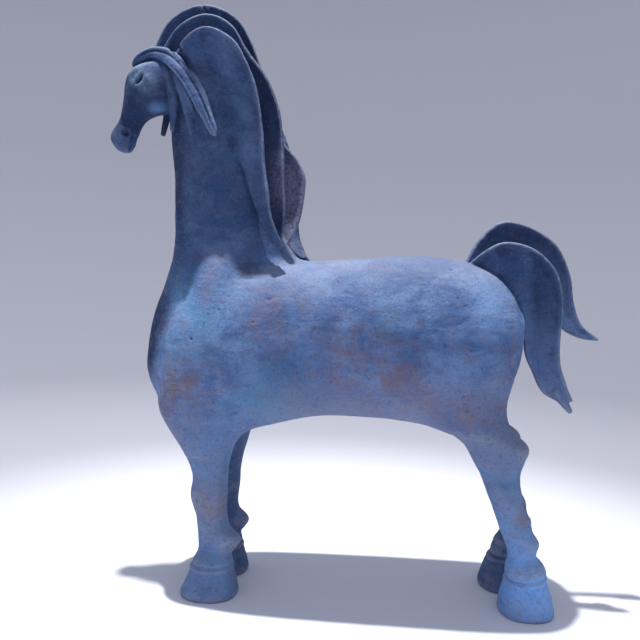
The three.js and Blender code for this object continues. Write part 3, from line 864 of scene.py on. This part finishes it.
def pitted(points, head, rng):
    """Small sharp pits where grit has fallen out of the clay."""
    height = np.zeros(len(points))
    tree = KDTree(len(points))
    for index, point in enumerate(points):
        tree.insert(point, index)
    tree.balance()
    for index in rng.integers(0, len(points), PIT_COUNT):
        radius, deep = rng.uniform(0.8, 1.8), rng.uniform(0.25, 0.7)
        if head[index] < 0.1:
            for _, near, distance in tree.find_range(points[index], radius):
                height[near] -= deep * (1 - (distance / radius) ** 2)
    return height


def work_surface(made, form):
    """Modelled detail, unevenness, scraping, grain and pits along the surface's own normals."""
    mesh = made.data
    points, edges = read_points(mesh)
    left = points[:, 1] < -10
    root = np.exp(-(beside(points, LEAF_ROOT) / 5) ** 2) * left
    points = relaxed(points, edges, np.where(root > 0.05, root, 0), 70)
    roped = forelock_share(points)
    soft = np.where(points[:, 2] < 4, 0.05, 0.4 - 0.3 * roped)
    points = relaxed(points, edges, soft, 3)
    write_points(mesh, points)
    height = modelled(points)
    points += read_normals(mesh) * height[:, None]
    write_points(mesh, points)
    x, y, z = points.T
    head = between(x, -260, -186, 12) * between(z, 430, 520, 8)
    barrel = between(z, 190, 330, 25) * between(x, -180, 170, 20)
    dents = 0.6 * lattice_noise(points, 38, 1) + 0.4 * lattice_noise(points, 16, 2)
    scrape = lattice_noise(points, (17, 17, 2.4), 3) * (0.35 + 0.65 * barrel)
    lumps = lattice_noise(points, 6.5, 6)
    grain = 0.55 * lattice_noise(points, 3.2, 4) + 0.45 * lattice_noise(points, 1.8, 5)
    height = form.unevenness / MM * dents * (1 - 0.7 * head)
    height += form.grain / MM * (0.8 * scrape + 0.5 * lumps + 0.8 * grain) * (1 - 0.5 * head)
    height += pitted(points, head, np.random.default_rng(form.seed))
    points += read_normals(mesh) * (height * np.clip(z / 3, 0, 1))[:, None]
    points[:, 2] = np.maximum(points[:, 2], 0)
    write_points(mesh, points)
    return made


def thinned(made, limit):
    triangles = sum(len(face.vertices) - 2 for face in made.data.polygons)
    if triangles > limit:
        thin = made.modifiers.new("thin", "DECIMATE")
        thin.ratio = limit / triangles
        thin.use_collapse_triangulate = True
        applied(made)
    return made


def note_ridges(mesh):
    """Stores how far each point stands out of its surroundings, for the rubbed and highlit edges and
    the painted shade in creases.
    """
    points, edges = read_points(mesh)
    around = relaxed(points, edges, np.ones(len(points)), 5)
    ridge = ((points - around) * read_normals(mesh)).sum(1)
    layer = mesh.attributes.new("ridge", "FLOAT", "POINT")
    layer.data.foreach_set("value", ridge.astype(np.float32))


def layered(base, layers):
    """A colour under layers of other ones, each with its share, the last on top."""
    for colour, share in layers:
        base = base.mix(colour, share)
    return base


def paint_material(paint):
    """Matt blue paint, brushed and rubbed in layers over coarse orange-brown clay, with shade and
    highlights painted in.
    """
    material = bpy.data.materials.new("painted_clay")
    material.use_nodes = True
    tree = material.node_tree
    tree.nodes.clear()
    start = Socket(tree)
    place = start.node("ShaderNodeTexCoord", output=3)
    ridge = start.node("ShaderNodeAttribute", {"attribute_name": "ridge"}, output=2)
    length, across, height = (place.node("ShaderNodeSeparateXYZ", sockets={0: place}, output=axis)
                              for axis in range(3))
    facing = start.node("ShaderNodeNewGeometry", output=1)
    upward = start.node("ShaderNodeSeparateXYZ", sockets={0: facing}, output=2)

    broad = place.noise(0.11, 4, 0.6)
    patch = place.stretched((1, 1, 1.5), (3, 1, 2)).noise(0.05, 6, 0.65, 0.5)
    second = place.stretched((1, 1, 1.3), (5, 8, 2)).noise(0.04, 6, 0.65, 0.5)
    mottle = place.stretched((1, 1, 0.7), (2, 6, 4)).noise(0.02, 5, 0.7, 0.3)
    blotch = place.stretched((1, 1, 1.2), (9, 2, 6)).noise(0.014, 4, 0.65, 0.4)
    brush = place.stretched((0.5, 0.5, 2.4), (7, 0, 1)).noise(0.010, 5, 0.65)
    speck = place.noise(0.0032, 4, 0.7)
    grit = place.stretched((1, 1, 1), (1, 5, 3)).noise(0.0024, 4, 0.8)

    legs = height.above(0.2, 0.12)
    under = height.above(0.24, 0.19) * height.above(0.13, 0.17) * length.above(-0.1, -0.03)
    tail = length.above(0.168, 0.185) * height.above(0.18, 0.26)
    mane = (height.above(0.27, 0.38) + tail).capped()
    # Painted shade: the navy deepens further back across the horse, for the shaded rear leaves of the
    # mane
    painted_shade_behind = across.above(-0.026, -0.018) * 0.35
    chest_shadow = place.spots(CHEST_SHADOW_SPOTS) * across.above(-0.046, -0.028)
    base = start.node("ShaderNodeMix", {"data_type": "RGBA"},
                      {0: patch.above(0.36, 0.64), 6: (*paint.cobalt, 1), 7: (*paint.sky, 1)},
                      output=2)
    base = layered(base, [
        (paint.violet, second.above(0.48, 0.66) * 0.65),
        (paint.turquoise, mottle.above(0.52, 0.68) * 0.45),
        (paint.cobalt, mottle.above(0.48, 0.34) * 0.5),
        (paint.turquoise, place.spots(COOL_SPOTS) * second.above(0.62, 0.42) * 0.7),
        (paint.sky, legs * (patch * 0.5 + 0.35)),
        (paint.dust_and_highlight, legs * speck.above(0.35, 0.75) * 0.25),
        (paint.turquoise, legs * mottle.above(0.42, 0.62) * 0.5),
        (paint.violet, legs * second.above(0.56, 0.42) * 0.4),
        (paint.azure, place.near((180, -40, 20), 62) * (mottle * 0.5 + 0.62)),
        # Painted shade: navy on the far legs, where the body shades them
        (paint.navy, legs * across.above(-0.012, 0.012) * 0.6),
        (paint.cobalt, place.near((-128, -40, 20), 42) * (mottle * 0.5 + 0.2)),
        (paint.violet, under * (second * 0.5 + 0.3)),
        (paint.dust_and_highlight, under * (patch * 0.4 + 0.1)),
        # The mane's and tail's own navy paint, which also darkens the head and upper neck, partly as
        # painted shade
        (paint.navy, mane * (broad.above(0.35, 0.6) * 0.25 + painted_shade_behind + 0.34)),
        # Painted shadow of the head, navy over the chest front
        (paint.navy, chest_shadow * 0.88)])

    lobe = place.spots(LOBE_SPOTS)
    temple = place.near((-202, -20, 499), 15) * mottle.above(0.35, 0.55)
    face = (place.spots(BROW_SPOTS) + temple).capped()
    base = layered(base.touched(place, paint, BODY_TOUCHES), [
        (paint.violet, lobe * 0.85),
        (paint.dust_and_highlight, lobe * speck.above(0.35, 0.6) * 0.55),
        (paint.turquoise, face * 0.75),
        (paint.dust_and_highlight, face * speck.above(0.3, 0.65) * 0.55),
        (paint.azure, place.near((-193, -15, 474), 14) * 0.45),
        (paint.navy, place.spots(CHEEK_SPOTS) * 0.6),
        # Paler blue on the crests of the forelock's ropes: worn paint and painted highlight
        (paint.sky, place.spots(LOCK_SPOTS) * ridge.above(-0.15, 0.35) * 0.45),
        # Painted highlight: paler blue on upward-facing surfaces, where the overhead light falls
        (paint.dust_and_highlight, upward.above(0.2, 0.95) * (patch * 0.4 + 0.2)),
        (paint.dust_and_highlight, brush.above(0.5, 0.8) * speck.above(0.42, 0.66) * 0.22)])

    worn, brown = place.spots(WORN_SPOTS), place.spots(BROWN_SPOTS)
    flakes = broad * 0.2 + second * 0.25 + brush * 0.4 + speck * 0.3 + worn * 0.1
    thinner = 0.16 * paint.wear
    shown = flakes.above(0.66 - thinner, 0.94 - thinner)
    # Pale blue on raised edges and rims: rubbed paint and painted highlight, less on the head
    rubbed_and_highlit = ridge.above(0.22, 0.8) * (1 - place.near((-215, 0, 480), 95) * 0.8)
    base = layered(base.touched(place, paint, MUZZLE_TOUCHES), [
        (paint.clay, brown * mottle.above(0.4, 0.6) * second.above(0.35, 0.55) * 0.4),
        (paint.clay, shown * (worn * 0.5 + 0.08)),
        (paint.dust_and_highlight, rubbed_and_highlit * (speck * 0.5 + 0.2)),
        # Painted shade: deep blue in creases and hollows
        (DEEP_BLUE, (1 - ridge.above(-0.6, -0.1)) * 0.45),
        (THIN_PAINT, blotch.above(0.52, 0.68) * 0.3 * (1 - mane)),
        (paint.cobalt, blotch.above(0.46, 0.3) * 0.4 * (1 - mane)),
        (DEEP_BLUE, grit.above(0.53, 0.7) * 0.5),
        (DEEP_BLUE, brush.above(0.58, 0.7) * mottle.above(0.4, 0.6) * 0.22),
        (paint.dust_and_highlight, grit.above(0.44, 0.28) * 0.3)])

    rough = grit * 0.12 + 0.84
    bumps = grit * 0.6 + speck * 0.8 + brush * 0.5
    normal = start.node("ShaderNodeBump", sockets={"Strength": 1.0, "Distance": 0.0008,
                                                   "Height": bumps})
    shader = start.node("ShaderNodeBsdfPrincipled", sockets={
        "Base Color": base, "Roughness": rough, "Normal": normal, "Specular IOR Level": 0.25})
    start.node("ShaderNodeOutputMaterial", sockets={"Surface": shader}, output=None)
    return material


class CLAYHORSE_OT_figure(bpy.types.Operator):
    """Model, fuse, work and paint the horse as one piece"""

    bl_idname = "clayhorse.figure"
    bl_label = "Build Horse"

    def execute(self, context):
        form, paint = context.scene.clay_horse_form, context.scene.clay_horse_paint
        finish = paint_material(paint)
        body = blend_joins(remeshed(body_clay(form).object("body"), JOIN_VOXEL))
        body = cut_by(body, face_cuts())
        slabs = Clay()
        for leaf in (*MANE_LEAVES.values(), *TAIL_LEAVES.values()):
            add_leaf(slabs, **leaf, slab=form.slab, lean=form.lean)
        tree = strand_tree()
        locks = [strand_object(name, tree, path, finish) for name, path in STRANDS.items()]
        locks += [strand_object(f"forelock_{name}", tree, finish=finish, **lock)
                  for name, lock in FORELOCKS.items()]
        horse = joined("horse", body, slabs.object("slabs"), *locks)
        remeshed(horse, FINE_VOXEL)
        work_surface(horse, form)
        thinned(horse, form.faces)
        note_ridges(horse.data)
        horse.data.materials.clear()
        horse.data.materials.append(finish)
        horse.data.shade_smooth()
        bpy.data.node_groups.remove(tree)
        if not len(horse.data.polygons):
            raise RuntimeError("the horse has no faces")
        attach(horse, "root")
        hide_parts(NODE)
        return {"FINISHED"}


class CLAYHORSE_OT_stage(bpy.types.Operator):
    """Set the pale floor, the backdrop, the soft lights and the camera"""

    bl_idname = "clayhorse.stage"
    bl_label = "Set Stage"

    def execute(self, context):
        stage = context.scene.clay_horse_stage
        self.bowl(stage)
        self.lamp(stage.key)
        world = bpy.data.worlds.new("air")
        context.scene.world = world
        world.use_nodes = True
        air = world.node_tree.nodes["Background"].inputs
        air["Color"].default_value = AIR_COLOUR
        air["Strength"].default_value = stage.air
        self.camera(context)
        context.scene.view_settings.view_transform = "Standard"
        return {"FINISHED"}

    def bowl(self, stage):
        """A floor that curves up into a wall all round."""
        radius, rise, wall = 2.4, 0.9, 1.9
        turns = np.linspace(0, math.pi / 2, 16)
        profile = [(0.02, 0), (1, 0)]
        profile += [(radius - rise + rise * math.sin(t), rise - rise * math.cos(t)) for t in turns]
        profile.append((radius, wall))
        count, sides = len(profile), 96
        points, faces = [], [[k * count for k in range(sides)][::-1]]
        for k in range(sides):
            turn = 2 * math.pi * k / sides
            points += [(r * math.cos(turn), r * math.sin(turn), z) for r, z in profile]
            a, b = k * count, (k + 1) % sides * count
            faces += [(a + i, b + i, b + i + 1, a + i + 1) for i in range(count - 1)]
        mesh = bpy.data.meshes.new("floor")
        mesh.from_pydata(points, [], faces)
        mesh.shade_smooth()
        floor = linked("floor", mesh)
        material = bpy.data.materials.new("floor")
        material.use_nodes = True
        tree = material.node_tree
        shader = tree.nodes["Principled BSDF"].inputs
        place = Socket(tree).node("ShaderNodeTexCoord", output=3)
        away = place.vector("LENGTH", {0: place}).also(1)
        colour = away.node("ShaderNodeMix", {"data_type": "RGBA"},
                           {0: away.above(0.27, 0.74), 6: (*stage.floor, 1),
                            7: (*stage.backdrop, 1)}, output=2)
        tree.links.new(colour.socket, shader["Base Color"])
        shader["Roughness"].default_value = 0.9
        mesh.materials.append(material)

    def lamp(self, power):
        """A small round lamp overhead, aimed at the figure's middle."""
        light = bpy.data.lights.new("key", "AREA")
        light.shape = "DISK"
        light.size = LAMP_SIZE
        light.energy = power
        light.color = LAMP_COLOUR
        made = linked("key", light)
        made.location = LAMP_PLACE
        made.rotation_euler = (LAMP_AIM - LAMP_PLACE).to_track_quat("-Z", "Y").to_euler()

    def camera(self, context):
        camera = bpy.data.cameras.new("camera")
        camera.lens = CAMERA_LENS
        camera.sensor_width = SENSOR
        camera.clip_start = 0.01
        made = linked("camera", camera)
        turn = Matrix.Rotation(CAMERA_TURN, 4, "Z")
        tip = Matrix.Rotation(math.pi / 2 - CAMERA_DIP, 4, "X")
        made.matrix_world = (Matrix.Translation(CAMERA_PLACE * MM) @ turn @ tip
                             @ Matrix.Rotation(CAMERA_ROLL, 4, "Z"))
        context.scene.camera = made


class CLAYHORSE_PT_panel(bpy.types.Panel):
    """Buttons and settings of the clay horse"""

    bl_label = "Clay Horse"
    bl_idname = "CLAYHORSE_PT_panel"
    bl_space_type = "VIEW_3D"
    bl_region_type = "UI"
    bl_category = "Clay Horse"

    def draw(self, context):
        for settings in ("clay_horse_form", "clay_horse_paint", "clay_horse_stage"):
            box = self.layout.box()
            group = getattr(context.scene, settings)
            for name in group.__annotations__:
                box.prop(group, name)
        self.layout.operator(CLAYHORSE_OT_figure.bl_idname)
        self.layout.operator(CLAYHORSE_OT_stage.bl_idname)


CLASSES = (ClayHorseForm, ClayHorsePaint, ClayHorseStage, CLAYHORSE_OT_figure,
           CLAYHORSE_OT_stage, CLAYHORSE_PT_panel)


def register():
    for cls in CLASSES:
        bpy.utils.register_class(cls)
    bpy.types.Scene.clay_horse_form = PointerProperty(type=ClayHorseForm)
    bpy.types.Scene.clay_horse_paint = PointerProperty(type=ClayHorsePaint)
    bpy.types.Scene.clay_horse_stage = PointerProperty(type=ClayHorseStage)


def unregister():
    del bpy.types.Scene.clay_horse_stage
    del bpy.types.Scene.clay_horse_paint
    del bpy.types.Scene.clay_horse_form
    for cls in reversed(CLASSES):
        bpy.utils.unregister_class(cls)


def main():
    register()
    bpy.ops.clayhorse.stage()
    bpy.ops.clayhorse.figure()


if __name__ == "__main__":
    main()
